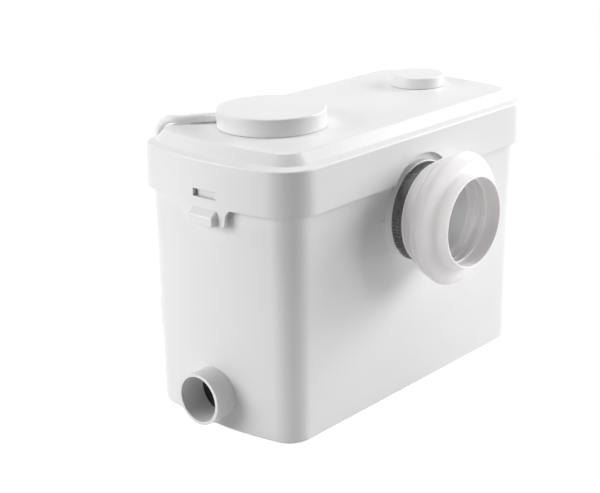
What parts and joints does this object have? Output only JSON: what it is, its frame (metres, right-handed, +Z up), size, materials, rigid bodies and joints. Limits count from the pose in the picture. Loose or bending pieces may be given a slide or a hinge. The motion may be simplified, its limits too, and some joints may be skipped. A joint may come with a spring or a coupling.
{
  "type": "macerator toilet pump",
  "caption": "White boxed macerator pump for a toilet, with a rubber inlet sleeve in front, a side inlet, a lift-off lid with two round caps, and a mains cord.",
  "frame": {"origin": "centre of the tank's flat base", "axes": "+Z up, -Y out of the toilet inlet in front, -X out of the side inlet"},
  "size_m": [0.383, 0.3413, 0.2661],
  "materials": {
    "tank_plastic": "white moulded ABS, satin gloss",
    "lid_plastic": "white moulded ABS, satin gloss",
    "sleeve_rubber": "pale warm grey rubber",
    "dark_rubber": "black EPDM rubber",
    "stainless": "brushed stainless",
    "carbon_foam": "open carbon foam",
    "inner_plastic": "grey moulded polypropylene",
    "basket_plastic": "natural white polypropylene",
    "bearing_steel": "ground steel",
    "cast_aluminium": "cast aluminium",
    "lamination": "varnished steel laminations",
    "copper_wire": "enamelled copper",
    "switch_plastic": "black phenolic",
    "brass": "brass",
    "capacitor_case": "grey-white plastic can",
    "cord_sheath": "pale grey PVC sheath",
    "core_wire": "coloured core insulation",
    "plug_plastic": "white moulded plug",
    "plated_pin": "nickel-plated brass"
  },
  "bodies": {
    "tank": {"tank": "tank_plastic", "wc_sleeve": "sleeve_rubber", "wc_clamp_band": "stainless", "side_flap_pin": "stainless", "cord_coil": "cord_sheath", "cord_tail": "cord_sheath", "plug": "plug_plastic", "plug_pins": "plated_pin"},
    "side_flap": {"side_flap": "dark_rubber"},
    "clamp_screw": {"clamp_screw": "stainless"},
    "lid": {"lid": "lid_plastic", "lid_seal": "dark_rubber", "vent_filter": "carbon_foam", "motor_housing": "inner_plastic", "upper_bearing": "bearing_steel", "lower_bearing": "bearing_steel", "shaft_seal": "dark_rubber", "bearing_bracket": "cast_aluminium", "stator_core": "lamination", "stator_windings": "copper_wire", "housing_screws": "stainless", "pillar_screws": "stainless", "pump_bolts": "stainless", "pump_pillars": "stainless", "suction_plate": "inner_plastic", "volute": "inner_plastic", "basket": "basket_plastic", "riser_pipe": "inner_plastic", "riser_coupling": "dark_rubber", "hose_clips": "stainless", "valve_body": "inner_plastic", "valve_pin": "stainless", "outlet_elbow": "tank_plastic", "outlet_grommet": "dark_rubber", "pressure_tube": "inner_plastic", "switch_housing": "inner_plastic", "diaphragm": "dark_rubber", "clamp_ring": "inner_plastic", "switch_bridge": "inner_plastic", "microswitch": "switch_plastic", "lever_pin": "stainless", "terminal_block": "basket_plastic", "terminal_screws": "brass", "run_capacitor": "capacitor_case", "capacitor_clip": "stainless", "strain_relief": "cord_sheath", "inner_lead": "cord_sheath", "lead_cores": "core_wire", "cord_run": "cord_sheath"},
    "motor_cap": {"motor_cap": "lid_plastic"},
    "vent_cap": {"vent_cap": "lid_plastic"},
    "rotor": {"rotor": "lamination", "motor_shaft": "bearing_steel", "impeller": "inner_plastic", "impeller_nut": "stainless", "cutter_blade": "stainless"},
    "valve_flap": {"valve_flap": "dark_rubber"},
    "switch_plunger": {"switch_plunger": "inner_plastic"},
    "switch_lever": {"switch_lever": "stainless"}
  },
  "joints": [
    {"name": "lid_lift", "type": "slide", "parent": "tank", "child": "lid", "axis": [0, 0, 1], "range_m": [0, 0.24]},
    {"name": "motor_cap_lift", "type": "slide", "parent": "lid", "child": "motor_cap", "axis": [0, 0, 1], "range_m": [0, 0.04]},
    {"name": "vent_cap_lift", "type": "slide", "parent": "lid", "child": "vent_cap", "axis": [0, 0, 1], "range_m": [0, 0.03]},
    {"name": "rotor_spin", "type": "hinge", "parent": "lid", "child": "rotor", "pos_m": [-0.09, 0.0045, 0.142], "axis": [0, 0, 1], "continuous": true},
    {"name": "valve_swing", "type": "hinge", "parent": "lid", "child": "valve_flap", "pos_m": [-0.062, 0.0565, 0.1703], "axis": [1, 0, 0], "range_deg": [0, 50]},
    {"name": "side_flap_swing", "type": "hinge", "parent": "tank", "child": "side_flap", "pos_m": [-0.1651, 0, 0.0581], "axis": [0, -1, 0], "range_deg": [0, 32]},
    {"name": "plunger_travel", "type": "slide", "parent": "lid", "child": "switch_plunger", "axis": [0, 0, 1], "range_m": [0, 0.002]},
    {"name": "lever_swing", "type": "hinge", "parent": "lid", "child": "switch_lever", "pos_m": [0.0882, 0, 0.2388], "axis": [0, 1, 0], "range_deg": [0, 8]},
    {"name": "clamp_screw_turn", "type": "hinge", "parent": "tank", "child": "clamp_screw", "pos_m": [0.02225, -0.0958, 0.12835], "axis": [-0.8829, 0, -0.4695], "continuous": true}
  ],
  "couplings": [
    {"joint": "lever_swing", "follows": "plunger_travel", "rad_per_m": 61.728}
  ]
}
